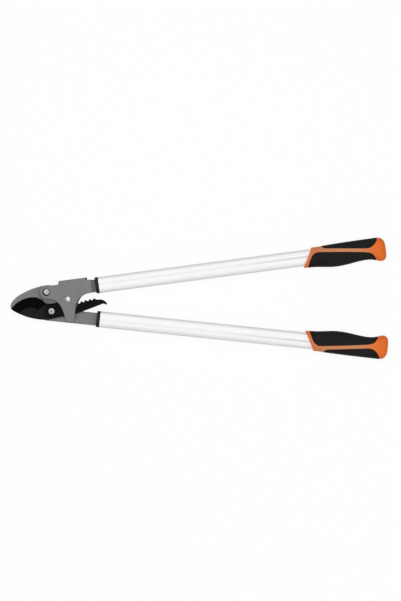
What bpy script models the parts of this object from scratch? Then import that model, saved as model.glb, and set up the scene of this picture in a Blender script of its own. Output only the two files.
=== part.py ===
"""Ratchet lopper lying on its back, built as separate named pieces.

Plan sizes are millimetres about the main pivot, +X towards the grips and +Y towards the upper
handle. Heights are measured from the middle of the head; the whole tool is then lifted so that
it lies on z = 0. A fixed hook plate carries the lower handle. The blade turns on the main pivot
in front of the hook plate, a toothed ratchet bar turns on the blade, and the folded lever plate
of the upper handle turns on the main pivot and pushes the bar with its pin.
"""

import math

import bmesh
import bpy
from mathutils import Matrix, Vector

MM = 0.001

# Clearances
GAP = 0.3
BORE_GAP = 0.3

# Head plates, from the back of the head to its front
HOOK_T = 4.5
BLADE_T = 3.2
BAR_T = 3.2
HEEL_T = 1.5
LEAF_T = 2.2

# Pivots in plan
MAIN_PIVOT = (0.0, 0.0)
BAR_PIVOT = (9.8, -38.6)
PIN_SEAT = (42.8, -14.4)

# Pivot hardware
BOLT_R = 4.0
BUSH_WALL = 2.0
BOLT_HEAD_R = 6.2
BOLT_HEAD_H = 3.6
BOLT_RECESS_R = 9.0
BOLT_RECESS_D = 1.0
NUT_FLATS = 13.0
NUT_H = 4.8
WASHER_R = 9.0
WASHER_T = 1.5
BAR_SCREW_R = 3.4
BAR_SCREW_HEAD_R = 6.6
BAR_SCREW_HEAD_H = 4.2
PIN_R = 2.5
PIN_HEAD_R = 5.9
PIN_HEAD_H = 2.0
RIVET_R = 2.0

# Hook, blade, bar and lever plate
EYE_R = 13.4
BLADE_HUB_R = 12.6
EDGE_T = 0.4
BLADE_BEVEL = 4.0
BAR_HUB_R = 14.0
NOTCHES = 4
FIRST_NOTCH = (64.6, -20.4)
LAST_NOTCH = (90.4, -13.7)
NOTCH_BOW = 0.6
TOOTH_RISE = 4.3
TOOTH_LEAN = 0.42
LEVER_HALF = 13.1
SPINE_HEIGHT = 18.3
SPINE_FROM = 26.4
SPINE_TO = 82.9
SPINE_ROUND = 1.8
LEAF_SHORT = 8.5

# Handles: the axis of each leaves the head at its own angle and offset
UPPER_ANGLE = 7.5
UPPER_OFFSET = 0.0
UPPER_START = 98.5
LOWER_ANGLE = -5.9
LOWER_OFFSET = -43.6
LOWER_START = 105.0
TANG_HALF = 11.7
TANG_TAIL_HALF = 6.5
TANG_TAIL_T = 8.0
TANG_DEPTH = 42.0

FERRULE_LENGTH = 6.5
FERRULE_LIP = 0.2
SPIGOT_LENGTH = 9.0
TUBE_W = 32.2
TUBE_H = 21.0
TUBE_WALL = 1.5
TUBE_POWER = 3.2
TUBE_SIDES = 40
CREASE_W = 2.2
CREASE_DEPTH = 0.5
CREASE_OFFSET = 1.6
INSERT_LENGTH = 48.0

GRIP_AT = 417.5
GRIP_SLANT = 20.0
GRIP_SIDES = 28
GRIP_POWER = 2.5
TUBE_IN_GRIP = 110.0
PAD_T = 2.4
PAD_PROUD = 0.4

# Grip edges by distance from its mouth: inner edge, outer edge and half thickness
GRIP_STATIONS = (
    (0.0, 20.0, -19.0, 15.0),
    (12.0, 20.0, -19.0, 15.2),
    (26.0, 20.9, -19.2, 15.6),
    (42.0, 23.0, -19.5, 16.1),
    (58.0, 24.9, -20.0, 16.5),
    (74.0, 24.8, -20.4, 16.5),
    (90.0, 23.4, -20.8, 16.4),
    (106.0, 21.2, -21.0, 16.1),
    (122.0, 19.8, -21.2, 15.7),
    (134.0, 20.2, -21.3, 15.6),
    (144.0, 22.6, -21.4, 15.9),
    (152.0, 25.6, -21.4, 16.0),
    (158.0, 26.2, -20.4, 15.4),
    (163.0, 23.6, -17.0, 13.2),
    (166.0, 19.0, -11.5, 9.6),
    (167.0, 13.0, -5.5, 5.5),
)

STACK = HOOK_T + BLADE_T + BAR_T + HEEL_T + 3.0 * GAP
SLOT_HALF = STACK / 2.0 + GAP
HEAD_HALF = SLOT_HALF + LEAF_T
REST_DEPTH = max(station[3] for station in GRIP_STATIONS) + PAD_PROUD
HOOK_Z = (-STACK / 2.0, -STACK / 2.0 + HOOK_T)
BLADE_Z = (HOOK_Z[1] + GAP, HOOK_Z[1] + GAP + BLADE_T)
BAR_Z = (BLADE_Z[1] + GAP, BLADE_Z[1] + GAP + BAR_T)
HEEL_Z = (BAR_Z[1] + GAP, BAR_Z[1] + GAP + HEEL_T)
BUSH_R = BOLT_R + BORE_GAP + BUSH_WALL
TUBE_FROM = FERRULE_LENGTH + GAP
INSERT_FROM = FERRULE_LENGTH + SPIGOT_LENGTH + GAP
TUBE_TO = GRIP_AT + TUBE_IN_GRIP

COLOURS = {
    "steel_grey": ((0.20, 0.20, 0.20, 1.0), 0.7, 0.45),
    "black_coating": ((0.012, 0.012, 0.012, 1.0), 0.2, 0.35),
    "zinc": ((0.72, 0.72, 0.72, 1.0), 1.0, 0.3),
    "aluminium": ((0.85, 0.85, 0.86, 1.0), 0.9, 0.3),
    "black_plastic": ((0.015, 0.015, 0.015, 1.0), 0.0, 0.5),
    "orange_plastic": ((0.85, 0.21, 0.03, 1.0), 0.0, 0.42),
    "black_rubber": ((0.014, 0.013, 0.013, 1.0), 0.0, 0.7),
}


class Handle:
    """One handle's axis in plan, and the side of it that faces the other handle."""

    def __init__(self, name, angle, offset, start, inner):
        self.name = name
        self.angle = math.radians(angle)
        self.offset = offset
        self.start = start
        self.inner = inner

    def plan(self, along, across):
        """Plan point at a distance along the axis past the ferrule, and across it."""
        run = self.start + along
        side = self.offset + across
        cosine, sine = math.cos(self.angle), math.sin(self.angle)
        return (run * cosine - side * sine, run * sine + side * cosine)


UPPER = Handle("upper", UPPER_ANGLE, UPPER_OFFSET, UPPER_START, -1.0)
LOWER = Handle("lower", LOWER_ANGLE, LOWER_OFFSET, LOWER_START, 1.0)


# Outlines


def arc(centre, radius, start, end, steps):
    """Points on an arc from start to end, in degrees."""
    angles = [math.radians(start + (end - start) * i / steps) for i in range(steps + 1)]
    return [(centre[0] + radius * math.cos(a), centre[1] + radius * math.sin(a)) for a in angles]


def curve(points, steps):
    """Smooth open curve through the points."""
    ends = [points[0]] + list(points) + [points[-1]]
    path = []
    for i in range(1, len(ends) - 2):
        p0, p1, p2, p3 = (Vector(ends[i + j]) for j in (-1, 0, 1, 2))
        for step in range(steps):
            t = step / steps
            bend = (2 * p0 - 5 * p1 + 4 * p2 - p3) * t * t + (3 * p1 - p0 - 3 * p2 + p3) * t**3
            path.append(tuple(p1 + ((p2 - p0) * t + bend) / 2.0))
    path.append(tuple(points[-1]))
    return path


def grown(outline, distance):
    """Counterclockwise outline moved outwards, corner by corner."""
    moved = []
    for i, point in enumerate(outline):
        before = (Vector(point) - Vector(outline[i - 1])).normalized()
        after = (Vector(outline[(i + 1) % len(outline)]) - Vector(point)).normalized()
        normal = Vector((before.y + after.y, -before.x - after.x)).normalized()
        moved.append(tuple(Vector(point) + normal * distance))
    return moved


def oval(width, height, power, sides):
    """Rounded section in the plane across a handle."""
    ring = []
    for i in range(sides):
        a = 2.0 * math.pi * i / sides
        c, s = math.cos(a), math.sin(a)
        y = math.copysign(abs(c) ** (2.0 / power), c) * width / 2.0
        z = math.copysign(abs(s) ** (2.0 / power), s) * height / 2.0
        ring.append((y, z))
    return ring


# Solids


def clear_scene():
    for old in list(bpy.data.objects):
        bpy.data.objects.remove(old, do_unlink=True)


def material(name):
    found = bpy.data.materials.get(name)
    if found:
        return found
    colour, metallic, roughness = COLOURS[name]
    made = bpy.data.materials.new(name)
    made.use_nodes = True
    shader = made.node_tree.nodes["Principled BSDF"]
    shader.inputs["Base Color"].default_value = colour
    shader.inputs["Metallic"].default_value = metallic
    shader.inputs["Roughness"].default_value = roughness
    made.diffuse_color = colour
    return made


def solid(name, bm):
    """Object from a bmesh in millimetres, with its faces turned outwards."""
    bmesh.ops.recalc_face_normals(bm, faces=bm.faces)
    if bm.calc_volume(signed=True) < 0.0:
        bmesh.ops.reverse_faces(bm, faces=bm.faces)
    mesh = bpy.data.meshes.new(name)
    bm.transform(Matrix.Scale(MM, 4))
    bm.to_mesh(mesh)
    bm.free()
    made = bpy.data.objects.new(name, mesh)
    bpy.context.scene.collection.objects.link(made)
    return made


def loft(name, rings):
    """Closed solid through rings of equal point counts, given as 3-D points."""
    bm = bmesh.new()
    rows = [[bm.verts.new(point) for point in ring] for ring in rings]
    for low, high in zip(rows, rows[1:]):
        for i in range(len(low)):
            j = (i + 1) % len(low)
            bm.faces.new((low[i], low[j], high[j], high[i]))
    bm.faces.new(list(reversed(rows[0])))
    bm.faces.new(rows[-1])
    return solid(name, bm)


def plate(name, outline, low, high):
    """Flat plate with a plan outline."""
    return loft(name, [[(x, y, z) for x, y in outline] for z in (low, high)])


def turned(name, centre, profile, sides):
    """Round solid about a vertical axis through centre, from (radius, height) pairs."""
    rings = []
    for radius, height in profile:
        ring = arc(centre, radius, 0.0, 360.0 * (sides - 1) / sides, sides - 1)
        rings.append([(x, y, height) for x, y in ring])
    return loft(name, rings)


def tube_run(name, section, start, end):
    """Straight run of a section along +X."""
    return loft(name, [[(x, y, z) for y, z in section] for x in (start, end)])


def combine(target, tool, operation):
    """Applies a Boolean and removes the tool."""
    tool.hide_render = True
    tool.display_type = "WIRE"
    step = target.modifiers.new("cut", "BOOLEAN")
    step.operation = operation
    step.solver = "EXACT"
    step.object = tool
    bpy.context.view_layer.update()
    graph = bpy.context.evaluated_depsgraph_get()
    result = bpy.data.meshes.new_from_object(target.evaluated_get(graph))
    target.modifiers.clear()
    old = target.data
    target.data = result
    result.name = target.name
    bpy.data.meshes.remove(old)
    bpy.data.objects.remove(tool, do_unlink=True)
    return target


def cut(target, tool):
    return combine(target, tool, "DIFFERENCE")


def drill(target, centre, radius, low, high, sides=32):
    """Cuts a vertical hole between two heights."""
    return cut(target, turned("drill", centre, ((radius, low), (radius, high)), sides))


def finish(made, look, parent, pivot=(0.0, 0.0, 0.0)):
    """Gives a piece its material, its origin and its parent."""
    made.data.materials.clear()
    made.data.materials.append(material(look))
    origin = Vector(pivot) * MM
    made.data.transform(Matrix.Translation(-origin))
    made.location = origin
    made.parent = parent
    made.data.shade_smooth()
    made.data.set_sharp_from_angle(angle=math.radians(32.0))
    return made


def frame_empty(name, parent, place, turn=0.0):
    empty = bpy.data.objects.new(name, None)
    empty.empty_display_size = 0.02
    empty.location = Vector(place) * MM
    empty.rotation_euler = (0.0, 0.0, turn)
    empty.parent = parent
    bpy.context.scene.collection.objects.link(empty)
    return empty


# Head


def hook_outline():
    """Crescent hook, eye round the main pivot, throat and the tang of the lower handle."""
    back = curve(((-73.0, -31.0), (-63.4, -17.6), (-44.8, -2.0), (-26.2, 6.0), (-12.0, 11.0)), 4)
    eye = arc(MAIN_PIVOT, EYE_R, 96.0, -30.0, 8)
    flank = curve((eye[-1], (18.6, -21.5), (29.0, -31.5), LOWER.plan(-62.0, TANG_HALF)), 3)
    tang = [
        LOWER.plan(-GAP, TANG_HALF),
        LOWER.plan(-GAP, TANG_TAIL_HALF),
        LOWER.plan(TANG_DEPTH, TANG_TAIL_HALF),
        LOWER.plan(TANG_DEPTH, -TANG_TAIL_HALF),
        LOWER.plan(-GAP, -TANG_TAIL_HALF),
        LOWER.plan(-GAP, -TANG_HALF),
        LOWER.plan(-96.0, -TANG_HALF),
    ]
    throat = curve(((-0.6, -51.5), (-6.0, -41.0), (-8.6, -29.2), (-12.6, -18.6)), 3)
    edge = curve(((-17.6, -15.8), (-30.4, -14.0), (-46.0, -18.0), (-61.8, -27.8), (-71.6, -34.0)), 4)
    return list(reversed(back + eye[1:] + flank[1:] + tang + throat + edge))


def make_hook_plate():
    made = plate("hook_plate", hook_outline(), *HOOK_Z)
    return drill(made, MAIN_PIVOT, BUSH_R + BORE_GAP, HOOK_Z[0] - 1.0, HOOK_Z[1] + 1.0)


def blade_rings():
    """Blade outline at its back, at the top of its thin edge and at its front."""
    edge = curve(((-70.4, -33.4), (-61.8, -24.8), (-50.0, -16.4), (-30.4, -11.2), (-11.6, -15.8)), 4)
    hub = arc(MAIN_PIVOT, BLADE_HUB_R, 215.0, -32.0, 16)
    flank = curve((hub[-1], (24.0, -19.6), (29.6, -30.0), (30.4, -42.0), (22.4, -50.0)), 3)
    spine = curve(((6.6, -53.6), (-23.4, -51.2), (-46.0, -45.2), (-68.6, -34.4)), 5)
    full = edge + [(-9.4, -17.2)] + hub + flank[1:] + spine
    ground = []
    for i, point in enumerate(full):
        if 0 < i < len(edge) - 1:
            along = (Vector(full[i + 1]) - Vector(full[i - 1])).normalized()
            width = BLADE_BEVEL * min(1.0, i / 3.0)
            point = (point[0] + along.y * width, point[1] - along.x * width)
        ground.append(point)
    levels = ((full, BLADE_Z[0]), (full, BLADE_Z[0] + EDGE_T), (ground, BLADE_Z[1]))
    return [[(x, y, z) for x, y in outline] for outline, z in levels]


def make_blade():
    made = loft("blade", blade_rings())
    low, high = BLADE_Z[0] - 1.0, BLADE_Z[1] + 1.0
    drill(made, MAIN_PIVOT, BUSH_R + BORE_GAP, low, high)
    return drill(made, BAR_PIVOT, BAR_SCREW_R + BORE_GAP, low, high)


def notch_centres():
    """Where the ratchet pin sits in each notch, with the bar at rest."""
    centres = []
    for i in range(NOTCHES):
        t = i / (NOTCHES - 1.0)
        x = FIRST_NOTCH[0] + (LAST_NOTCH[0] - FIRST_NOTCH[0]) * t
        y = FIRST_NOTCH[1] + (LAST_NOTCH[1] - FIRST_NOTCH[1]) * t
        centres.append((x, y + NOTCH_BOW * 4.0 * t * (1.0 - t)))
    return centres


def rack():
    """Toothed top of the bar, from its beak back to the seat of the pin at rest."""
    seat_r = PIN_R + GAP
    centres = notch_centres()
    pitch = (centres[-1][0] - centres[0][0]) / (NOTCHES - 1.0)
    top = [(centres[-1][0] + TOOTH_LEAN * pitch, centres[-1][1] + TOOTH_RISE - seat_r)]
    for centre, inner in zip(reversed(centres), [*reversed(centres[:-1]), None]):
        top += arc(centre, seat_r, -25.0, -150.0, 5)
        if inner:
            peak_x = inner[0] + TOOTH_LEAN * pitch
            peak_y = inner[1] + TOOTH_RISE - seat_r
            top.append((peak_x, peak_y))
    top += [(58.0, -25.0), (53.0, -23.6), (48.4, -20.0)]
    top += arc(PIN_SEAT, seat_r, -62.0, -190.0, 6)
    return top


def bar_outline():
    """Hub round the bar screw, belly, beak and rack."""
    hub = arc(BAR_PIVOT, BAR_HUB_R, 62.0, 281.0, 16)
    belly = curve((hub[-1], (35.2, -49.0), (60.9, -42.7), (84.4, -34.4), (113.9, -22.7)), 3)
    beak = [(118.0, -24.6), (121.4, -24.2), (118.4, -20.2), (114.4, -17.7), (109.4, -16.2)]
    left_lip = [(38.6, -11.6), (35.0, -17.5), (27.4, -22.8)]
    return hub + belly[1:] + beak + [(99.4, -15.4)] + rack() + left_lip


def make_ratchet_bar():
    made = plate("ratchet_bar", bar_outline(), *BAR_Z)
    return drill(made, BAR_PIVOT, BAR_SCREW_R + BORE_GAP, BAR_Z[0] - 1.0, BAR_Z[1] + 1.0)


def make_heel_plate():
    """Doubler under the front leaf round the main pivot, in front of the ratchet bar."""
    eye = arc(MAIN_PIVOT, EYE_R + 0.8, 128.0, 210.0, 6)
    heel = curve((eye[-1], (-6.4, -18.6), (-0.6, -22.7), (7.4, -23.4), (17.0, -22.0), (26.6, -16.0)), 3)
    back = [(28.0, -4.0), (22.0, 8.0)] + arc(MAIN_PIVOT, EYE_R, 58.0, 112.0, 4)
    made = plate("heel_plate", eye + heel[1:] + back, *HEEL_Z)
    return drill(made, MAIN_PIVOT, BUSH_R + BORE_GAP, HEEL_Z[0] - 1.0, HEEL_Z[1] + 1.0)


def lever_outline():
    """One leaf of the folded lever plate, with its leg over the ratchet bar."""
    eye = arc(MAIN_PIVOT, EYE_R, 88.0, 270.0, 14)
    leg = curve(
        (eye[-1], (10.6, -14.2), (19.4, -18.4), (28.6, -29.0), (34.8, -43.6), (39.6, -56.4)), 3
    )
    foot = curve(((46.4, -60.4), (52.2, -60.6), (55.9, -54.0), (56.9, -38.7), (58.6, -23.4)), 3)
    arch = curve(((64.6, -13.4), (74.4, -5.9), (83.0, -3.0), UPPER.plan(-LEAF_SHORT, -LEVER_HALF)), 3)
    spine_from = SPINE_FROM - UPPER_START
    spine_to = SPINE_TO - UPPER_START
    top = [
        UPPER.plan(-LEAF_SHORT, LEVER_HALF),
        UPPER.plan(spine_to, LEVER_HALF + 0.4),
        UPPER.plan(spine_to, SPINE_HEIGHT),
        UPPER.plan(spine_from, SPINE_HEIGHT),
        UPPER.plan(spine_from - 1.6, 11.5),
        (10.0, 12.4),
    ]
    return eye + leg[1:] + foot + arch + top


def round_spine(made):
    """Rounds the two long folded edges of the lever plate."""
    bm = bmesh.new()
    bm.from_mesh(made.data)
    ends = [Vector(UPPER.plan(x - UPPER_START, SPINE_HEIGHT)) * MM for x in (SPINE_FROM, SPINE_TO)]
    folded = []
    for edge in bm.edges:
        first, last = (v.co.to_2d() for v in edge.verts)
        straight = abs((first - last).length - (ends[0] - ends[1]).length) < MM / 100.0
        if straight and min((first - end).length for end in ends) < MM / 100.0:
            folded.append(edge)
    bmesh.ops.bevel(
        bm, geom=folded, offset=SPINE_ROUND * MM, segments=3, affect="EDGES", profile=0.5
    )
    bm.to_mesh(made.data)
    bm.free()


def make_lever_plate():
    """Plate folded over the head: two leaves joined by a web along the spine."""
    made = plate("lever_plate", lever_outline(), -HEAD_HALF, HEAD_HALF)
    round_spine(made)
    far = 2.0 * UPPER_START
    corners = ((-far, -far), (far, -far), (far, SPINE_HEIGHT - LEAF_T), (-far, SPINE_HEIGHT - LEAF_T))
    slot = [UPPER.plan(along, across) for along, across in corners]
    cut(made, plate("slot", slot, -SLOT_HALF, SLOT_HALF))
    drill(made, MAIN_PIVOT, BOLT_R + BORE_GAP, -HEAD_HALF - 1.0, HEAD_HALF + 1.0)
    drill(made, MAIN_PIVOT, BOLT_RECESS_R, HEAD_HALF - BOLT_RECESS_D, HEAD_HALF + 1.0)
    drill(made, PIN_SEAT, PIN_R + BORE_GAP, -HEAD_HALF - 1.0, HEAD_HALF + 1.0, 24)
    for spot in rivet_spots():
        drill(made, spot, RIVET_R + BORE_GAP, -HEAD_HALF - 1.0, 0.0, 24)
    return made


def rivet_spots():
    """The two rivets that hold the upper tang, flush at the back and blind at the front."""
    return [UPPER.plan(-28.0, 4.0), UPPER.plan(-16.0, 0.0)]


def make_upper_tang():
    """Block between the leaves, with a narrower tail inside the tube."""
    nose = [(62.0, 2.0), (67.0, -6.2), (75.6, -1.6)]
    outline = nose + [
        UPPER.plan(-1.0, 1.4 - LEVER_HALF),
        UPPER.plan(-1.0, LEVER_HALF - 1.0),
        UPPER.plan(-34.0, LEVER_HALF - 1.0),
    ]
    made = plate("upper_tang", outline, -STACK / 2.0, STACK / 2.0)
    tail = [
        UPPER.plan(-6.0, -TANG_TAIL_HALF),
        UPPER.plan(TANG_DEPTH, -TANG_TAIL_HALF),
        UPPER.plan(TANG_DEPTH, TANG_TAIL_HALF),
        UPPER.plan(-6.0, TANG_TAIL_HALF),
    ]
    combine(made, plate("tail", tail, -TANG_TAIL_T / 2.0, TANG_TAIL_T / 2.0), "UNION")
    for spot in rivet_spots():
        drill(made, spot, RIVET_R + BORE_GAP, -STACK, STACK, 24)
    return made


def make_tang_rivet(name, spot):
    return turned(name, spot, ((RIVET_R, -HEAD_HALF), (RIVET_R, STACK / 2.0)), 24)


# Pivot hardware


def star(centre, radius, depth, points, per_point):
    """Outline of a lobed bolt head."""
    count = points * per_point
    outline = []
    for i in range(count):
        a = 2.0 * math.pi * i / count
        r = radius * (1.0 - depth / 2.0 + depth / 2.0 * math.cos(points * a))
        outline.append((centre[0] + r * math.cos(a), centre[1] + r * math.sin(a)))
    return outline


def make_pivot_bolt():
    """Bolt through the head, its lobed head in the recess of the front leaf."""
    seat = HEAD_HALF - BOLT_RECESS_D + GAP
    made = turned("pivot_bolt", MAIN_PIVOT, ((BOLT_R, -REST_DEPTH), (BOLT_R, seat + 0.5)), 32)
    lobes = star(MAIN_PIVOT, BOLT_HEAD_R, 0.22, 6, 8)
    crown = [(x * 0.84, y * 0.84) for x, y in lobes]
    rings = []
    for outline, height in ((lobes, 0.0), (lobes, BOLT_HEAD_H - 0.8), (crown, BOLT_HEAD_H)):
        rings.append([(x, y, seat + height) for x, y in outline])
    return combine(made, loft("head", rings), "UNION")


def make_pivot_bush():
    half = STACK / 2.0
    made = turned("pivot_bush", MAIN_PIVOT, ((BUSH_R, -half), (BUSH_R, half)), 32)
    return drill(made, MAIN_PIVOT, BOLT_R + BORE_GAP, -half - 1.0, half + 1.0)


def make_pivot_washer():
    top = -HEAD_HALF - GAP
    made = turned("pivot_washer", MAIN_PIVOT, ((WASHER_R, top - WASHER_T), (WASHER_R, top)), 32)
    return drill(made, MAIN_PIVOT, BOLT_R + BORE_GAP, top - WASHER_T - 1.0, top + 1.0)


def make_pivot_nut():
    """Hexagon nut with its corners chamfered."""
    top = -HEAD_HALF - WASHER_T - 2.0 * GAP
    corner = NUT_FLATS / math.sqrt(3.0)
    made = turned("pivot_nut", MAIN_PIVOT, ((corner, top - NUT_H), (corner, top)), 6)
    chamfer = 0.5
    rings = (
        (NUT_FLATS / 2.0, top - NUT_H),
        (corner + 0.05, top - NUT_H + chamfer),
        (corner + 0.05, top - chamfer),
        (NUT_FLATS / 2.0, top),
    )
    combine(made, turned("round", MAIN_PIVOT, rings, 32), "INTERSECT")
    return drill(made, MAIN_PIVOT, BOLT_R + BORE_GAP, top - NUT_H - 1.0, top + 1.0)


def make_bar_screw():
    """Shoulder screw of the bar, with a hexagon socket."""
    seat = BAR_Z[1] + GAP
    rings = (
        (BAR_SCREW_R, BLADE_Z[0]),
        (BAR_SCREW_R, seat),
        (BAR_SCREW_HEAD_R, seat),
        (BAR_SCREW_HEAD_R, seat + 0.55 * BAR_SCREW_HEAD_H),
        (0.85 * BAR_SCREW_HEAD_R, seat + 0.88 * BAR_SCREW_HEAD_H),
        (0.6 * BAR_SCREW_HEAD_R, seat + BAR_SCREW_HEAD_H),
    )
    made = turned("bar_screw", BAR_PIVOT, rings, 32)
    floor = seat + 0.45 * BAR_SCREW_HEAD_H
    return drill(made, BAR_PIVOT, 0.42 * BAR_SCREW_HEAD_R, floor, seat + BAR_SCREW_HEAD_H + 1.0, 6)


def make_ratchet_pin():
    """Pin through both leaves, riveted over at the back and domed at the front."""
    base = HEAD_HALF + GAP
    rings = [(PIN_HEAD_R * 0.8, -base - PIN_HEAD_H * 0.7), (PIN_HEAD_R * 0.8, -base)]
    rings += [(PIN_R, -base), (PIN_R, base), (PIN_HEAD_R, base)]
    for i in range(1, 4):
        a = math.radians(24.0 * i)
        rings.append((PIN_HEAD_R * math.cos(a), base + PIN_HEAD_H * math.sin(a)))
    return turned("ratchet_pin", PIN_SEAT, rings, 32)


# Handles


def plug_section():
    """Outline of what fits inside a tube."""
    shrink = 2.0 * (TUBE_WALL + GAP)
    return oval(TUBE_W - shrink, TUBE_H - shrink, TUBE_POWER, TUBE_SIDES)


def make_ferrule(handle, bottom, top, half):
    """Plastic collar flush with the tube, its spigot inside, open for the tang."""
    collar = oval(TUBE_W + 2 * FERRULE_LIP, TUBE_H + 2 * FERRULE_LIP, TUBE_POWER, TUBE_SIDES)
    made = tube_run(handle.name + "_ferrule", collar, 0.0, FERRULE_LENGTH)
    spigot = tube_run("spigot", plug_section(), 0.5 * FERRULE_LENGTH, FERRULE_LENGTH + SPIGOT_LENGTH)
    combine(made, spigot, "UNION")
    window = [(-half, bottom), (half, bottom), (half, top), (-half, top)]
    return cut(made, tube_run("window", window, -1.0, INSERT_FROM))


def make_insert(handle, bottom, top, half):
    """Plug that holds the tang inside the tube."""
    made = tube_run(handle.name + "_tube_insert", plug_section(), INSERT_FROM, INSERT_LENGTH)
    window = [(-half, bottom), (half, bottom), (half, top), (-half, top)]
    return cut(made, tube_run("window", window, 0.0, TANG_DEPTH + GAP))


def make_tube(handle):
    outer = oval(TUBE_W, TUBE_H, TUBE_POWER, TUBE_SIDES)
    bore = oval(TUBE_W - 2 * TUBE_WALL, TUBE_H - 2 * TUBE_WALL, TUBE_POWER, TUBE_SIDES)
    made = tube_run(handle.name + "_tube", outer, TUBE_FROM, TUBE_TO)
    middle = -handle.inner * CREASE_OFFSET
    for face in (-TUBE_H / 2.0, TUBE_H / 2.0):
        floor = face - math.copysign(CREASE_DEPTH, face)
        crease = [
            (middle - CREASE_W, 2.0 * face - floor),
            (middle + CREASE_W, 2.0 * face - floor),
            (middle, floor),
        ]
        cut(made, tube_run("crease", crease, TUBE_FROM - 1.0, TUBE_TO + 1.0))
    return cut(made, tube_run("bore", bore, TUBE_FROM - 1.0, TUBE_TO + 1.0))


def grip_body(name, handle, inset):
    """Lofted grip shape, moved inwards by inset."""
    rings = []
    last = GRIP_STATIONS[-1][0]
    for along, inner, outer, half in GRIP_STATIONS:
        inner, outer, half = inner - inset, outer + inset, half - inset
        middle = (inner + outer) / 2.0
        lean = GRIP_SLANT * max(0.0, 1.0 - along / (2.2 * GRIP_SLANT))
        ring = []
        for y, z in oval(inner - outer, 2.0 * half, GRIP_POWER, GRIP_SIDES):
            share = (inner - middle - y) / (inner - outer)
            x = along + lean * share
            x -= inset * along / last
            ring.append((GRIP_AT + x, handle.inner * (middle + y), z))
        rings.append(ring)
    return loft(name, rings)


def pad_outlines():
    """Plan outlines of the two rubber pads, by distance from the mouth and from the axis."""
    inner = [(6.4, 32.0), (8.6, 20.0), (12.0, 11.0), (16.0, 2.9), (20.4, -3.2), (26.0, -6.4)]
    inner += [(33.0, -6.9), (80.0, -1.0), (126.0, 5.6), (134.0, 7.6), (139.6, 11.2)]
    inner += [(143.2, 16.8), (145.6, 24.0), (147.0, 32.0)]
    outer = [(39.6, -28.0), (40.6, -19.6), (42.6, -17.0), (47.0, -14.8), (88.0, -9.4)]
    outer += [(128.0, -3.9), (136.0, -4.6), (143.0, -8.2), (148.6, -13.8), (151.8, -20.4)]
    outer += [(153.4, -28.0)]
    return (("inner", inner), ("outer", list(reversed(outer))))


def pad_prism(handle, outline, grow):
    """Cutter through the whole grip with a pad's outline."""
    spots = [(GRIP_AT + x, handle.inner * y) for x, y in grown(outline, grow)]
    return plate("pad_prism", spots, -2.0 * REST_DEPTH, 2.0 * REST_DEPTH)


def make_grip(handle):
    """Orange core with two pockets, and the rubber pads that fill them."""
    core = grip_body(handle.name + "_grip_core", handle, 0.0)
    pads = []
    for side, outline in pad_outlines():
        pocket = pad_prism(handle, outline, GAP)
        cut(pocket, grip_body("floor", handle, PAD_T))
        cut(core, pocket)
        pad = grip_body(handle.name + "_grip_pad_" + side, handle, -PAD_PROUD)
        combine(pad, pad_prism(handle, outline, 0.0), "INTERSECT")
        pads.append(cut(pad, grip_body("floor", handle, PAD_T - GAP)))
    bore = oval(TUBE_W + 2 * GAP, TUBE_H + 2 * GAP, TUBE_POWER, TUBE_SIDES)
    cut(core, tube_run("bore", bore, GRIP_AT - GRIP_SLANT, TUBE_TO + GAP))
    return core, pads


def make_handle(handle, empty, low, high):
    """Ferrule, tube, insert and grip of one handle round a tang between two heights."""
    bottom, top, half = low - GAP, high + GAP, TANG_TAIL_HALF + GAP
    finish(make_ferrule(handle, bottom, top, half), "black_plastic", empty)
    finish(make_insert(handle, bottom, top, half), "black_plastic", empty)
    finish(make_tube(handle), "aluminium", empty)
    core, pads = make_grip(handle)
    finish(core, "orange_plastic", empty)
    for pad in pads:
        finish(pad, "black_rubber", empty)


def build():
    clear_scene()
    tool = frame_empty("tool_frame", None, (0.0, 0.0, REST_DEPTH))
    blade_frame = frame_empty("blade_frame", tool, (0.0, 0.0, 0.0))
    bar_frame = frame_empty("bar_frame", blade_frame, (*BAR_PIVOT, 0.0))
    lever_frame = frame_empty("lever_frame", blade_frame, (0.0, 0.0, 0.0))
    lower_place, upper_place = (*LOWER.plan(0.0, 0.0), 0.0), (*UPPER.plan(0.0, 0.0), 0.0)
    lower_frame = frame_empty("lower_handle_frame", tool, lower_place, LOWER.angle)
    upper_frame = frame_empty("upper_handle_frame", lever_frame, upper_place, UPPER.angle)

    finish(make_hook_plate(), "steel_grey", tool)
    finish(make_pivot_bolt(), "zinc", tool)
    finish(make_pivot_bush(), "zinc", tool)
    finish(make_pivot_washer(), "zinc", tool)
    finish(make_pivot_nut(), "zinc", tool)
    make_handle(LOWER, lower_frame, *HOOK_Z)

    finish(make_blade(), "black_coating", blade_frame)
    finish(make_bar_screw(), "zinc", blade_frame)
    bar = finish(make_ratchet_bar(), "black_coating", bar_frame, (*BAR_PIVOT, 0.0))
    bar.location = (0.0, 0.0, 0.0)

    finish(make_lever_plate(), "steel_grey", lever_frame)
    finish(make_heel_plate(), "steel_grey", lever_frame)
    finish(make_upper_tang(), "steel_grey", lever_frame)
    for name, spot in zip(("tang_rivet_front", "tang_rivet_rear"), rivet_spots()):
        finish(make_tang_rivet(name, spot), "steel_grey", lever_frame)
    finish(make_ratchet_pin(), "zinc", lever_frame)
    make_handle(UPPER, upper_frame, -TANG_TAIL_T / 2.0, TANG_TAIL_T / 2.0)


build()
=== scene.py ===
"""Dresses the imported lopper: materials, soft studio light and a camera over the tool."""

import math
from collections import namedtuple

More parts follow.
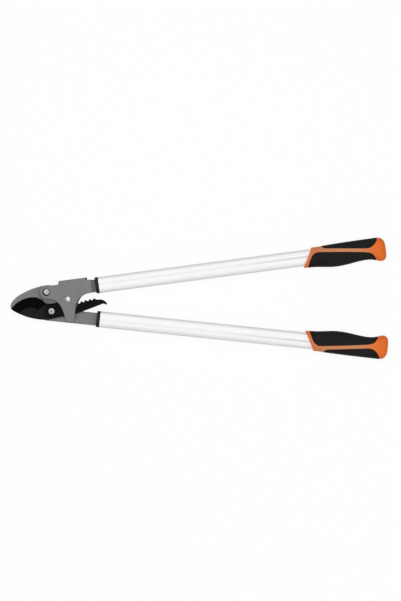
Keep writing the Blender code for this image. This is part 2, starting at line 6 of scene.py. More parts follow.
import bmesh
import bpy
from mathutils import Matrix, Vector


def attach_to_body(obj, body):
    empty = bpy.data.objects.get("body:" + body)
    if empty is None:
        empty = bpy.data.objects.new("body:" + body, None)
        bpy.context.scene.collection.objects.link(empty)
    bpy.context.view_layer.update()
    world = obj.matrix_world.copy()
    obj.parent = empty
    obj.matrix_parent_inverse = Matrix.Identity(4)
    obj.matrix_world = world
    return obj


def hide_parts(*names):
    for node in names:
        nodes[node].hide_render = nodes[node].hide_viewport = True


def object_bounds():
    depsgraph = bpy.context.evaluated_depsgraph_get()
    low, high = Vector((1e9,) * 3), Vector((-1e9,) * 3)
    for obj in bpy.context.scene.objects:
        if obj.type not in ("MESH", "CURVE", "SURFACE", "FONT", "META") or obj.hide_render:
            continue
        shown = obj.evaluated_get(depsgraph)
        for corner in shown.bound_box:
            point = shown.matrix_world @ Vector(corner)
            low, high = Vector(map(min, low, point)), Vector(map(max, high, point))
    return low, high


# Sizes are in millimetres, and metres are named as such
MM = 0.001

# A handle in plan, as in the model: the angle of its axis, where its ferrule's front lies along that axis
# and how far across, the side that faces the other handle, and its body
Handle = namedtuple("Handle", "angle start offset inner body")
HANDLES = {
    "upper": Handle(math.radians(7.5), 98.5, 0.0, -1.0, "lever_side"),
    "lower": Handle(math.radians(-5.9), 105.0, -43.6, 1.0, "hook_side"),
}

# Height of the head's middle over the ground, and of the faces of its plates from there
LIFT = 16.9
HOOK_Z = (-6.65, -2.15)
BLADE_Z = (-1.85, 1.35)
BAR_Z = (1.65, 4.85)
TANG_TOP = 6.65
LEAF_BACK = 6.95
RECESS_FLOOR = 8.15
HEAD_HALF = 9.15
THROUGH = 2.0 * LIFT

# Round ends of the plates, the holes in them, and where they lie
EYE_R = 13.4
BLADE_HUB_R = 12.6
BAR_HUB_R = 14.0
BUSH_HOLE = 6.6
SCREW_HOLE = 3.7
BOLT_HOLE = 4.3
RECESS_R = 9.0
RIVET_HOLE = 2.3
MAIN_PIVOT = (0.0, 0.0)
BAR_PIVOT = (9.8, -38.6)
PIN_SEAT = (42.8, -14.4)

# Rivets of the upper tang, by distance from the ferrule's front along the handle and from its axis
RIVETS = ((-28.0, 4.0), (-16.0, 0.0))

# Chamfers that break the plates' edges
HOOK_EDGE = 0.35
BAR_EDGE = 0.25
LEVER_EDGE = 0.3

# The blade's bevel: its width, the outline's points over which it widens from the tip and from the heel,
# the steel left at the edge, and the small step at its upper end
BEVEL = 4.0
BEVEL_POINTS = (14.0, 12.0)
BEVEL_STEEL = 0.35
BEVEL_STEP = 0.05

# The bar's notches, and the teeth between them
NOTCH_R = 2.8
NOTCHES = 4
FIRST_NOTCH = (64.6, -20.4)
LAST_NOTCH = (90.4, -13.7)
NOTCH_BOW = 0.6
TOOTH_RISE = 4.3
TOOTH_LEAN = 0.42

# The lever plate's end at the ferrule, and its folded spine with both ends along the handle
LEVER_HALF = 13.1
LEAF_END = -8.5
SPINE_HEIGHT = 18.3
SPINE_ROUND = 1.8
SPINE_ENDS = (-15.6, -72.1)

# Tails of the tangs inside the tubes: half width, reach, and half thickness
TAIL_HALF = 6.5
TAIL_REACH = 42.0
TAIL_TOP = 4.0

# Dark pieces painting shade on the head: ring as the bolt's shadow, plug in the fold's end, rib along the
# arch
SHADOW_RING_R = 6.9
SHADOW_RING_BORE = 4.4
SHADOW_RING_OFF = (-1.1, -1.0)
SHADOW_RING_T = 0.7
SHADOW_RING_EDGE = 0.2
PLUG_FLOOR = 7.4
PLUG_PROUD = 0.08
RIB_GAP = 0.4

# A tube's section as width, height and power, its ends past the ferrule's front, and its crease, from the
# handle's axis towards its outer side
TUBE_SIZE = (32.2, 21.0, 3.2)
TUBE_WALL = 1.5
TUBE_SPAN = (6.8, 527.5)
TUBE_SIDES = 120
BORE_SIDES = 80
BORE_PAST = 5.0
CREASE_OFFSET = 1.6
CREASE_HALF = 2.2
CREASE_DEPTH = 0.5

# A grip: its mouth past the ferrule's front, the bore for its tube, and the pads in its pockets
GRIP_AT = 417.5
GRIP_SLANT = 20.0
GRIP_POWER = 2.5
GRIP_SIDES = 84
GRIP_BORE = (32.8, 21.6, 3.2)
GRIP_BORE_SIDES = 40
GRIP_BORE_END = 110.3
PAD_T = 2.4
PAD_PROUD = 0.4
SEAM = 0.3

# Grip edges by distance from its mouth: inner edge, outer edge and half thickness
GRIP_STATIONS = (
    (0.0, 20.0, -19.0, 15.0),
    (12.0, 20.0, -19.0, 15.2),
    (26.0, 20.9, -19.2, 15.6),
    (42.0, 23.0, -19.5, 16.1),
    (58.0, 24.9, -20.0, 16.5),
    (74.0, 24.8, -20.4, 16.5),
    (90.0, 23.4, -20.8, 16.4),
    (106.0, 21.2, -21.0, 16.1),
    (122.0, 19.8, -21.2, 15.7),
    (134.0, 20.2, -21.3, 15.6),
    (144.0, 22.6, -21.4, 15.9),
    (152.0, 25.6, -21.4, 16.0),
    (158.0, 26.2, -20.4, 15.4),
    (163.0, 23.6, -17.0, 13.2),
    (166.0, 19.0, -11.5, 9.6),
    (167.0, 13.0, -5.5, 5.5),
)

# Edges of the pads on the grip's face, by distance from its mouth and from its axis
PADS = {
    "inner": (
        (6.4, 32.0), (8.6, 20.0), (12.0, 11.0), (16.0, 2.9), (20.4, -3.0), (26.0, -6.6), (33.0, -7.4),
        (44.0, -6.2), (80.0, -1.6), (116.0, 3.4), (126.0, 5.1), (134.0, 7.4), (139.6, 11.2), (143.2, 16.8),
        (145.6, 24.0), (147.0, 32.0),
    ),
    "outer": (
        (39.6, -28.0), (40.6, -19.6), (42.8, -15.8), (48.0, -13.6), (60.0, -12.0), (88.0, -8.3),
        (118.0, -4.2), (129.0, -2.9), (136.4, -3.8), (143.0, -7.6), (148.6, -13.8), (151.8, -20.4),
        (153.4, -28.0),
    ),
}

# Upper edge of the painted sheen along the blade's spine, a lighter zone that stands for light on the
# coating, from tip to heel, the span of Y that it lies in, and where along X its notch has sharp corners
SPINE_SHEEN_EDGE = (
    (-66.0, -40.0), (-53.4, -41.6), (-46.8, -35.4), (-30.4, -31.2), (-21.8, -33.4), (-19.8, -38.4),
    (-14.8, -34.0), (-6.2, -28.4), (4.0, -22.0),
)
SPINE_SHEEN_SPAN = (-42.0, -22.0)
SPINE_SHEEN_NOTCH = (-53.4, -19.8)

# Painted shade in the sockets at the middles of two bolts' heads: place and radius
BOLT_SOCKET_SHADE = ((0.4, -0.2), 1.7)
SCREW_SOCKET_SHADE = (BAR_PIVOT, 2.9)

# Colours of the moulded pieces, each with the deeper one of its clouds and grain, and of the grips'
# duller waist
FERRULE_BLACK = ((0.014, 0.014, 0.014, 1), (0.008, 0.008, 0.008, 1))
RUBBER_BLACK = ((0.0125, 0.0115, 0.0115, 1), (0.007, 0.0065, 0.0065, 1))
ORANGE = ((0.86, 0.168, 0.016, 1), (0.79, 0.148, 0.014, 1))
ORANGE_WAIST = (0.645, 0.250, 0.112, 1)

# Sides of small round shapes, and the angle past which an edge is shaded sharp
ROUND_SIDES = 48
SHARP_ANGLE = math.radians(32.0)

# The photograph's frame in metres: its centre over the part, and from its foot to its top; the lens and
# the sensor are in millimetres
VIEW_CENTRE = (0.3074, -0.0172)
VIEW_HEIGHT = 1.202
LENS = 150.0
SENSOR = 36.0
CLIP_END = 50.0

# The floor's reach in metres, its grey, the strength at which the camera sees it, and how far that hides
# the shadow
FLOOR_REACH = 6.0
FLOOR_GREY = 0.62
FLOOR_GLOW = 1.07
FLOOR_HIDE = 0.86

# The world's strength on the tool, and as it is seen or mirrored
WORLD_LIGHT = 0.35
WORLD_SEEN = 1.0

# Lamps in metres and watts: place, diameter and power, all aimed at one point
LAMP_AIM = (0.33, 0.0, 0.0)
LAMP_GLOSS = 0.5
LAMPS = {
    "key": ((0.15, 0.45, 2.6), 3.4, 44.0),
    "fill": ((1.6, -1.8, 1.6), 1.2, 8.5),
}

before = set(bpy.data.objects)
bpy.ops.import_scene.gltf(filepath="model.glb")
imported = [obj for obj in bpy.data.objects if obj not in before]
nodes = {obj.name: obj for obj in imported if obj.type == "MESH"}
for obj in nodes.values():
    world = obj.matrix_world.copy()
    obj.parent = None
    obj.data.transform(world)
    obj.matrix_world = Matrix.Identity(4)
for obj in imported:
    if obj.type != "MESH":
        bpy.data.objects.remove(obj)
cad_low, cad_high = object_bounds()


# Materials


class Nodes:
    """Short calls that build one material's node tree."""

    def __init__(self, name):
        self.material = bpy.data.materials.new(name)
        self.material.use_nodes = True
        self.tree = self.material.node_tree
        self.shader = self.tree.nodes["Principled BSDF"]

    def add(self, kind, inputs=None, **settings):
        """New node with its settings and inputs, each a value or a socket."""
        node = self.tree.nodes.new(kind)
        for key, value in settings.items():
            setattr(node, key, value)
        for key, value in (inputs or {}).items():
            self.plug(value, node.inputs[key])
        return node

    def plug(self, value, socket):
        """Links a socket, or sets its value."""
        if isinstance(value, bpy.types.NodeSocket):
            self.tree.links.new(value, socket)
        else:
            socket.default_value = value

    def math(self, operation, a, b=0.0):
        return self.add("ShaderNodeMath", {0: a, 1: b}, operation=operation).outputs[0]

    def place(self, turn=0.0, scale=(1.0, 1.0, 1.0)):
        """Object coordinates turned about Z, then scaled."""
        source = self.add("ShaderNodeTexCoord").outputs["Object"]
        if turn:
            inputs = {"Vector": source, "Angle": -turn}
            source = self.add("ShaderNodeVectorRotate", inputs, rotation_type="Z_AXIS").outputs[0]
        return self.add("ShaderNodeMapping", {"Vector": source, "Scale": scale}).outputs[0]

    def noise(self, where, scale, detail=3.0, rough=0.55):
        inputs = {"Vector": where, "Scale": scale, "Detail": detail, "Roughness": rough}
        return self.add("ShaderNodeTexNoise", inputs).outputs["Fac"]

    def spread(self, value, low, high, to_low, to_high):
        """Value carried from one range to another, and held at its ends."""
        inputs = {"Value": value, 1: low, 2: high, 3: to_low, 4: to_high}
        return self.add("ShaderNodeMapRange", inputs).outputs[0]

    def blend(self, factor, first, second):
        """Colour from first to second."""
        node = self.add("ShaderNodeMix", {"Factor": factor}, data_type="RGBA")
        self.plug(first, node.inputs[6])
        self.plug(second, node.inputs[7])
        return node.outputs[2]

    def edge_wear(self, radius, low, high):
        """About 1 along outer edges and 0 on flats."""
        bevel = self.add("ShaderNodeBevel", {"Radius": radius}, samples=4).outputs[0]
        normal = self.add("ShaderNodeNewGeometry").outputs["Normal"]
        dot = self.add("ShaderNodeVectorMath", {0: bevel, 1: normal}, operation="DOT_PRODUCT")
        return self.spread(dot.outputs["Value"], low, high, 1.0, 0.0)

    def bump(self, height, strength, distance, rounding=0.0):
        """Relief on the shader, with the mesh's own edges rounded by a radius in metres."""
        inputs = {"Height": height, "Strength": strength, "Distance": distance}
        if rounding:
            inputs["Normal"] = self.add("ShaderNodeBevel", {"Radius": rounding}, samples=4).outputs[0]
        self.plug(self.add("ShaderNodeBump", inputs).outputs[0], self.shader.inputs["Normal"])

    def set(self, **values):
        """Shader inputs by name, with _ for a space."""
        for key, value in values.items():
            self.plug(value, self.shader.inputs[key.replace("_", " ")])
        return self.material


def greys(levels, depth, blue=1.0):
    """Colours of grey levels times a depth, their blue times a little more."""
    return [(level * depth, level * depth, level * depth * blue, 1) for level in levels]


def grey_steel(name="plate_steel", depth=1.0):
    """Grey phosphated plate: fine grain, faint clouds, edges rubbed a little brighter."""
    n = Nodes(name)
    where = n.place()
    clouds = n.noise(where, 42.0, 4.0)
    grain = n.noise(where, 2600.0, 2.0)
    dark, pale = greys((0.160, 0.185), depth, 1.01)
    tone = n.blend(n.spread(clouds, 0.3, 0.7, 0.0, 1.0), dark, pale)
    tone = n.blend(n.spread(grain, 0.35, 0.75, 0.0, 0.22), tone, (0.22, 0.22, 0.22, 1))
    wear = n.math("MULTIPLY", n.edge_wear(0.0005, 0.8, 0.99), n.spread(clouds, 0.35, 0.65, 0.15, 0.5))
    tone = n.blend(wear, tone, (0.40, 0.40, 0.41, 1))
    n.bump(grain, strength=0.25, distance=0.00006, rounding=0.0004)
    rough = n.spread(grain, 0.3, 0.7, 0.42, 0.55)
    return n.set(Base_Color=tone, Metallic=0.1, Roughness=rough, Specular_IOR_Level=0.35)


def black_coat(name, turn, depth, sheen_zone=None):
    """Black low-friction coating with faint drag lines; sheen_zone lightens a part of it as painted sheen.
    """
    n = Nodes(name)
    where = n.place()
    lines = n.noise(n.place(turn, (60.0, 1400.0, 60.0)), 1.0, 3.0)
    grain = n.noise(where, 1800.0, 2.0)
    dark, pale = greys((0.0006, 0.0013), depth, 1.04)
    tone = n.blend(n.spread(lines, 0.4, 0.7, 0.0, 1.0), dark, pale)
    # Painted sheen: the zone is lifted to a lighter black that stands for light on the coating
    if sheen_zone:
        tone = n.blend(sheen_zone(n), tone, (0.0155, 0.0155, 0.016, 1))
    wear = n.edge_wear(0.0004, 0.8, 0.99)
    tone = n.blend(n.math("MULTIPLY", wear, 0.4), tone, (0.10, 0.10, 0.10, 1))
    n.bump(grain, strength=0.18, distance=0.00005, rounding=0.0004)
    rough = n.spread(lines, 0.3, 0.7, 0.42, 0.56)
    return n.set(Base_Color=tone, Roughness=rough, Specular_IOR_Level=0.018)


def spine_sheen_zone(n):
    """1 on the painted sheen along the blade's spine, fading over a millimetre at its upper edge."""
    where = n.add("ShaderNodeSeparateXYZ", {0: n.place()}).outputs
    first, last = SPINE_SHEEN_EDGE[0][0] * MM, SPINE_SHEEN_EDGE[-1][0] * MM
    low, high = SPINE_SHEEN_SPAN[0] * MM, SPINE_SHEEN_SPAN[1] * MM
    along = n.spread(where[0], first, last, 0.0, 1.0)
    curve = n.add("ShaderNodeFloatCurve", {"Factor": 1.0, "Value": along})
    line = curve.mapping.curves[0]
    points = [((x * MM - first) / (last - first), (y * MM - low) / (high - low)) for x, y in SPINE_SHEEN_EDGE]
    line.points[0].location = points[0]
    line.points[1].location = points[-1]
    for point in points[1:-1]:
        line.points.new(*point)
    for (x, _), point in zip(SPINE_SHEEN_EDGE, line.points):
        point.handle_type = "VECTOR" if x in SPINE_SHEEN_NOTCH else "AUTO"
    curve.mapping.update()
    edge = n.spread(curve.outputs[0], 0.0, 1.0, low, high)
    return n.spread(n.math("SUBTRACT", edge, where[1]), -0.0005, 0.0005, 0.0, 1.0)


def zinc(name, depth=1.0, socket_shade=None):
    """Bright plated steel with faint turning marks, and painted shade inside a socket given as its place and
    radius.
    """
    n = Nodes(name)
    where = n.place()
    cloud = n.noise(where, 260.0, 3.0)
    marks = n.noise(where, 2400.0, 2.0)
    dark, pale = greys((0.24, 0.33), depth)
    tone = n.blend(n.spread(cloud, 0.3, 0.7, 0.0, 1.0), dark, pale)
    # Painted shade: the socket's middle is darkened, as if in shadow
    if socket_shade:
        (x, y), radius = socket_shade
        flat = n.add("ShaderNodeVectorMath", {0: where, 1: (1, 1, 0)}, operation="MULTIPLY").outputs[0]
        middle = (x * MM, y * MM, 0)
        reach = n.add("ShaderNodeVectorMath", {0: flat, 1: middle}, operation="DISTANCE").outputs["Value"]
        inside = n.spread(reach, (radius - 0.25) * MM, (radius + 0.25) * MM, 0.75, 0.0)
        tone = n.blend(inside, tone, (0.05, 0.05, 0.05, 1))
    n.bump(marks, strength=0.15, distance=0.00004, rounding=0.0005)
    return n.set(Base_Color=tone, Metallic=0.9, Roughness=n.spread(cloud, 0.3, 0.7, 0.24, 0.36))


def aluminium(name, turn, crease):
    """Satin tube, drawn and lacquered, with streaks along it and painted shade along its crease, stronger
    near the grip.
    """
    n = Nodes(name)
    streaks = n.noise(n.place(turn, (2.0, 330.0, 330.0)), 1.0, 1.0, 0.5)
    cloud = n.noise(n.place(), 14.0, 2.0)
    dark, pale = (0.795, 0.795, 0.80, 1), (0.815, 0.815, 0.82, 1)
    tone = n.blend(n.spread(streaks, 0.3, 0.7, 0.0, 1.0), dark, pale)
    tone = n.blend(n.spread(cloud, 0.35, 0.65, 0.0, 0.25), tone, (0.85, 0.85, 0.85, 1))
    where = n.add("ShaderNodeSeparateXYZ", {0: n.place(turn)}).outputs
    across = n.math("ABSOLUTE", n.math("SUBTRACT", where[1], crease * MM))
    # Painted shade: the crease's line is darkened, more towards the grip
    line = n.spread(across, 0.0012, 0.0028, 1.0, 0.0)
    near_grip = n.spread(where[0], 0.36, 0.50, 0.3, 1.0)
    tone = n.blend(n.math("MULTIPLY", line, near_grip), tone, (0.61, 0.62, 0.64, 1))
    n.bump(streaks, strength=0.04, distance=0.00005)
    rough = n.spread(streaks, 0.3, 0.7, 0.45, 0.5)
    return n.set(Base_Color=tone, Metallic=0.25, Roughness=rough, Specular_IOR_Level=0.2)


def waist_zone(n, handle):
    """1 on a grip's waisted middle and 0 on its butt, along the handle's own axis."""
    along = n.add("ShaderNodeSeparateXYZ", {0: n.place(handle.angle)}).outputs[0]
    mouth = (handle.start + GRIP_AT) * MM
    front = n.spread(along, mouth + 0.004, mouth + 0.040, 0.1, 1.0)
    back = n.spread(along, mouth + 0.112, mouth + 0.146, 1.0, 0.0)
    return n.math("MULTIPLY", front, back)


def moulded(name, colours, rough, grain_scale, grain_depth, gloss, waisted=None):
    """Moulded plastic or rubber with fine grain and slight clouding, duller on a grip's waist."""
    n = Nodes(name)
    where = n.place()
    grain = n.noise(where, grain_scale, 3.0)
    cloud = n.noise(where, 30.0, 2.0)
    colour, deeper = colours
    tone = n.blend(n.spread(cloud, 0.3, 0.7, 0.0, 0.7), colour, deeper)
    if waisted:
        tone = n.blend(waist_zone(n, waisted), tone, ORANGE_WAIST)
    tone = n.blend(n.spread(grain, 0.5, 0.8, 0.0, 0.35), tone, deeper)
    n.bump(grain, strength=0.35, distance=grain_depth, rounding=0.0006)
    rough = n.spread(grain, 0.3, 0.7, rough - 0.05, rough + 0.07)
    return n.set(Base_Color=tone, Roughness=rough, Specular_IOR_Level=gloss)


def dress():
    """Builds the looks and the new pieces, and gives the model's own pieces their looks."""
    steel = grey_steel()
    bolts = zinc("bright_zinc")
    cap = moulded("ferrule_plastic", FERRULE_BLACK, 0.42, 1500.0, 0.00005, 0.1)
    rubber = moulded("black_rubber", RUBBER_BLACK, 0.62, 900.0, 0.0001, 0.08)
    looks = {
        "pivot_bolt": zinc("bolt_zinc", 0.95, BOLT_SOCKET_SHADE),
        "pivot_bush": bolts,
        "pivot_washer": bolts,
        "pivot_nut": bolts,
        "bar_screw": zinc("screw_zinc", 1.05, SCREW_SOCKET_SHADE),
        "ratchet_pin": zinc("pin_zinc", 1.3),
        # Painted shade: the heel plate's steel is darkened to half for the shade under the lever's leaf
        "heel_plate": grey_steel("heel_shaded_steel", 0.5),
        "tang_rivet_front": steel,
        "tang_rivet_rear": steel,
    }
    make_hook(steel)
    make_blade(black_coat("blade_coating", math.radians(35.0), 1.0, spine_sheen_zone))
    make_bar(black_coat("bar_coating", math.radians(12.0), 8.0))
    make_lever(steel)
    # Painted shade: the tang's steel is darkened for the shade between the leaves
    make_tang(grey_steel("tang_shaded_steel", 0.46))
    for side, handle in HANDLES.items():
        crease = handle.offset - handle.inner * CREASE_OFFSET
        orange = moulded(side + "_orange_plastic", ORANGE, 0.42, 1300.0, 0.00006, 0.2, handle)
        make_tube(side, handle, aluminium(side + "_tube_metal", handle.angle, crease))
        make_grip(side, handle, orange, rubber)
        looks[side + "_ferrule"] = cap
        looks[side + "_tube_insert"] = cap
    # Painted shade: the head's trim is black plastic, or steel darkened to a tenth
    make_head_trim(cap, grey_steel("shaded_steel", 0.10))
    for name, look in looks.items():
        for slot in nodes[name].material_slots:
            slot.material = look


# Shapes


def smooth(points, steps):
    """Smooth open curve through points of any dimension."""
    ends = [points[0], *points, points[-1]]
    path = []
    for four in zip(ends, ends[1:], ends[2:], ends[3:]):
        for step in range(steps):
            t = step / steps
            path.append(tuple(
                b + ((c - a) * t + (2 * a - 5 * b + 4 * c - d) * t * t + (3 * b - a - 3 * c + d) * t**3) / 2
                for a, b, c, d in zip(*four)
            ))
    path.append(tuple(points[-1]))
    return path


def round_about(centre, radius, start, end, steps):
    """Points on an arc about a point, in degrees."""
    angles = [math.radians(start + (end - start) * i / steps) for i in range(steps + 1)]
    return [(centre[0] + radius * math.cos(a), centre[1] + radius * math.sin(a)) for a in angles]


def oval(width, height, power, sides):
    """Rounded section across a handle."""
    ring = []
    for i in range(sides):
        a = 2.0 * math.pi * i / sides
        c, s = math.cos(a), math.sin(a)
        ring.append((
            math.copysign(abs(c) ** (2.0 / power), c) * width / 2.0,
            math.copysign(abs(s) ** (2.0 / power), s) * height / 2.0,
        ))
    return ring


def grown(outline, distance):
    """Counterclockwise outline moved outwards, corner by corner."""
    moved = []
    for i, point in enumerate(outline):
        before = (Vector(point) - Vector(outline[i - 1])).normalized()
        after = (Vector(outline[(i + 1) % len(outline)]) - Vector(point)).normalized()
        normal = Vector((before.y + after.y, -before.x - after.x)).normalized()
        moved.append(tuple(Vector(point) + normal * distance))
    return moved


def plan(handle, along, across):
    """Plan point at a distance along a handle past its ferrule's front, and across it."""
    run, side = handle.start + along, handle.offset + across
    cos, sin = math.cos(handle.angle), math.sin(handle.angle)
    return (run * cos - side * sin, run * sin + side * cos)


def placed(handle, section, along):
    """Section set square across a handle, at a distance past its ferrule's front."""
    return [(*plan(handle, along, across), height + LIFT) for across, height in section]


def on_grip(handle, along, across, height):
    """Point on a handle's grip, by distance from its mouth."""
    return (*plan(handle, GRIP_AT + along, across), height + LIFT)


# Solids


def form(name, rings, closed=False):
    """Solid through rings of points in millimetres; closed joins the last ring to the first."""
    bm = bmesh.new()
    rows = [[bm.verts.new(point) for point in ring] for ring in rings]
    pairs = list(zip(rows, rows[1:])) + ([(rows[-1], rows[0])] if closed else [])
    for low, high in pairs:
        for i in range(len(low)):
            j = (i + 1) % len(low)
            bm.faces.new((low[i], low[j], high[j], high[i]))
    if not closed:
        bm.faces.new(list(reversed(rows[0])))
        bm.faces.new(rows[-1])
    bmesh.ops.recalc_face_normals(bm, faces=bm.faces)
    if bm.calc_volume(signed=True) < 0.0:
        bmesh.ops.reverse_faces(bm, faces=bm.faces)
    for vert in bm.verts:
        vert.co *= MM
    mesh = bpy.data.meshes.new(name)
    bm.to_mesh(mesh)
    bm.free()
    made = bpy.data.objects.new(name, mesh)
    bpy.context.scene.collection.objects.link(made)
    return made


def slab(name, outline, low, high, edge=0.0):
    """Flat piece with a plan outline, its edges broken by a small chamfer."""
    levels = [(0.0, low), (0.0, high)]
    if edge:
        levels = [(-edge, low), (0.0, low + edge), (0.0, high - edge), (-edge, high)]
    return form(name, [[(x, y, z + LIFT) for x, y in grown(outline, out)] for out, z in levels])


def combine(target, tool, operation):
    """Applies a Boolean and removes the tool."""
    step = target.modifiers.new("cut", "BOOLEAN")
    step.operation = operation
    step.solver = "EXACT"
    step.object = tool
    bpy.context.view_layer.update()
    result = bpy.data.meshes.new_from_object(target.evaluated_get(bpy.context.evaluated_depsgraph_get()))
    target.modifiers.clear()
    old = target.data
    target.data = result
    result.name = target.name
    bpy.data.meshes.remove(old)
    bpy.data.objects.remove(tool, do_unlink=True)
    return target


def drill(target, centre, radius, low=-THROUGH, high=THROUGH):
    """Cuts an upright round hole between two heights."""
    turns = [math.tau * i / ROUND_SIDES for i in range(ROUND_SIDES)]
    ring = [(centre[0] + radius * math.cos(a), centre[1] + radius * math.sin(a)) for a in turns]
    return combine(target, slab("drill", ring, low, high), "DIFFERENCE")


def attach(piece, body, slot, look, *stands_for):
    """Material, shading and body of a new piece, and the CAD nodes that it stands for; slot is not used."""
    piece.data.materials.clear()
    piece.data.materials.append(look)
    piece.data.shade_smooth()
    piece.data.set_sharp_from_angle(angle=SHARP_ANGLE)
    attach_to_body(piece, body)
    if stands_for:
        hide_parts(*stands_for)
    return piece


# Handles


def make_tube(name, handle, metal):
    """Tube with a finely curved section and a crease on both faces, open for the ferrule's spigot."""
    width, height, power = TUBE_SIZE
    middle = -handle.inner * CREASE_OFFSET
    section = []
    for y, z in oval(width, height, power, TUBE_SIDES):
        dip = CREASE_DEPTH * max(0.0, 1.0 - abs(y - middle) / CREASE_HALF)
        section.append((y, z - math.copysign(dip, z)))
    inside = oval(width - 2.0 * TUBE_WALL, height - 2.0 * TUBE_WALL, power, BORE_SIDES)
    tube = form(name + "_oval_tube", [placed(handle, section, along) for along in TUBE_SPAN])
    ends = (TUBE_SPAN[0] - BORE_PAST, TUBE_SPAN[1] + BORE_PAST)
    combine(tube, form("bore", [placed(handle, inside, along) for along in ends]), "DIFFERENCE")
    attach(tube, handle.body, "aluminium", metal, name + "_tube")


def grip_body(name, handle, inset):
    """Grip with its surface moved inwards by inset."""
    inner_most, outer_most, half_most = (max(abs(row[i]) for row in GRIP_STATIONS) for i in (1, 2, 3))
    last = GRIP_STATIONS[-1][0]
    rings = []
    for along, inner, outer, half in smooth(GRIP_STATIONS, 5):
        inner = min(inner, inner_most) - inset
        outer = max(outer, -outer_most) + inset
        half = min(half, half_most) - inset
        middle = (inner + outer) / 2.0
        lean = GRIP_SLANT * max(0.0, 1.0 - along / (2.2 * GRIP_SLANT))
        ring = []
        for y, z in oval(inner - outer, 2.0 * half, GRIP_POWER, GRIP_SIDES):
            x = along + lean * (inner - middle - y) / (inner - outer) - inset * along / last
            ring.append(on_grip(handle, x, handle.inner * (middle + y), z))
        rings.append(ring)
    return form(name, rings)


def pad_prism(handle, side, grow):
    """Cutter through the whole grip with a pad's outline."""
    outline = smooth(PADS[side], 4)
    if side == "outer":
        outline.reverse()
    levels = []
    for height in (-THROUGH, THROUGH):
        levels.append([on_grip(handle, x, handle.inner * y, height) for x, y in grown(outline, grow)])
    return form("pad_prism", levels)


def make_grip(name, handle, orange, rubber):
    """Smooth grip over the CAD's: a core with two pockets, and the pads in them."""
    node = name + "_grip_"
    core = grip_body(name + "_handle_core", handle, 0.0)
    for side in PADS:
        pocket = combine(pad_prism(handle, side, SEAM), grip_body("floor", handle, PAD_T), "DIFFERENCE")
        combine(core, pocket, "DIFFERENCE")
        pad = grip_body(name + "_handle_pad_" + side, handle, -PAD_PROUD)
        combine(pad, pad_prism(handle, side, 0.0), "INTERSECT")
        combine(pad, grip_body("floor", handle, PAD_T - SEAM), "DIFFERENCE")
        attach(pad, handle.body, "black_rubber", rubber, node + "pad_" + side)
    section = oval(*GRIP_BORE, GRIP_BORE_SIDES)
    bore = [placed(handle, section, GRIP_AT + along) for along in (-GRIP_SLANT, GRIP_BORE_END)]
    combine(core, form("bore", bore), "DIFFERENCE")
    attach(core, handle.body, "orange_plastic", orange, node + "core")


# Head


def make_hook(steel):
    """Hook plate with its finely curved back, eye, throat and the shoulders of its tang."""
    lower = HANDLES["lower"]
    back = smooth((
        (-70.6, -34.9), (-72.2, -33.2), (-72.75, -30.6), (-72.5, -27.6), (-70.8, -22.0), (-65.0, -14.6),
        (-58.6, -8.8), (-46.6, -1.6), (-28.6, 6.4), (-12.0, 11.6),
    ), 5)
    eye = round_about(MAIN_PIVOT, EYE_R, 96.0, -30.0, 20)
    flank = smooth((eye[-1], (18.6, -21.5), (29.0, -31.5), plan(lower, -62.0, 12.2)), 6)
    tang = [
        plan(lower, -0.3, 12.2), plan(lower, -0.3, TAIL_HALF), plan(lower, TAIL_REACH, TAIL_HALF),
        plan(lower, TAIL_REACH, -TAIL_HALF), plan(lower, -0.3, -TAIL_HALF), plan(lower, -0.3, -13.5),
        plan(lower, -103.0, -13.5),
    ]
    throat = smooth(((-0.6, -53.5), (-6.0, -41.0), (-8.6, -29.2), (-12.6, -18.6)), 5)
    edge = smooth(((-17.6, -15.8), (-30.4, -14.0), (-46.0, -18.0), (-61.8, -27.8), (-69.4, -33.6)), 6)
    outline = list(reversed(back + eye[1:] + flank[1:] + tang + throat + edge))
    piece = drill(slab("hook_jaw", outline, *HOOK_Z, HOOK_EDGE), MAIN_PIVOT, BUSH_HOLE)
    attach(piece, "hook_side", "steel_grey", steel, "hook_plate")


def make_blade(coat):
    """Blade with a ground bevel that runs out at its tip and its heel."""
    edge = smooth((
        (-71.0, -33.5), (-66.6, -28.4), (-60.6, -22.6), (-48.6, -15.4), (-36.6, -11.6), (-24.6, -10.8),
        (-18.0, -12.0), (-11.2, -15.6),
    ), 6)
    hub = round_about(MAIN_PIVOT, BLADE_HUB_R, 238.0, -32.0, 36)
    flank = smooth((hub[-1], (24.0, -19.6), (29.6, -30.0), (30.4, -42.0), (22.4, -51.0)), 6)
    spine = smooth((
        (6.6, -55.0), (-6.0, -56.0), (-23.0, -54.0), (-38.8, -50.4), (-49.0, -46.5), (-58.6, -42.4),
        (-66.0, -38.4), (-70.2, -35.4),
    ), 5)
    full = edge + [(-7.8, -15.2)] + hub + flank[1:] + spine
    from_tip, from_heel = BEVEL_POINTS
    ground = []
    for i, point in enumerate(full):
        if 0 < i < len(edge) - 1:
            along = (Vector(full[i + 1]) - Vector(full[i - 1])).normalized()
            share = min(1.0, i / from_tip, (len(edge) - 1 - i) / from_heel)
            width = BEVEL * math.sin(math.pi / 2.0 * share)
            point = (point[0] + along.y * width, point[1] - along.x * width)
        ground.append(point)
    low, high = BLADE_Z
    levels = ((full, low), (full, low + BEVEL_STEEL), (ground, high - BEVEL_STEP), (ground, high))
    piece = form("blade_plate", [[(x, y, z + LIFT) for x, y in outline] for outline, z in levels])
    drill(drill(piece, MAIN_PIVOT, BUSH_HOLE), BAR_PIVOT, SCREW_HOLE)
    attach(piece, "blade_side", "black_coating", coat, "blade")


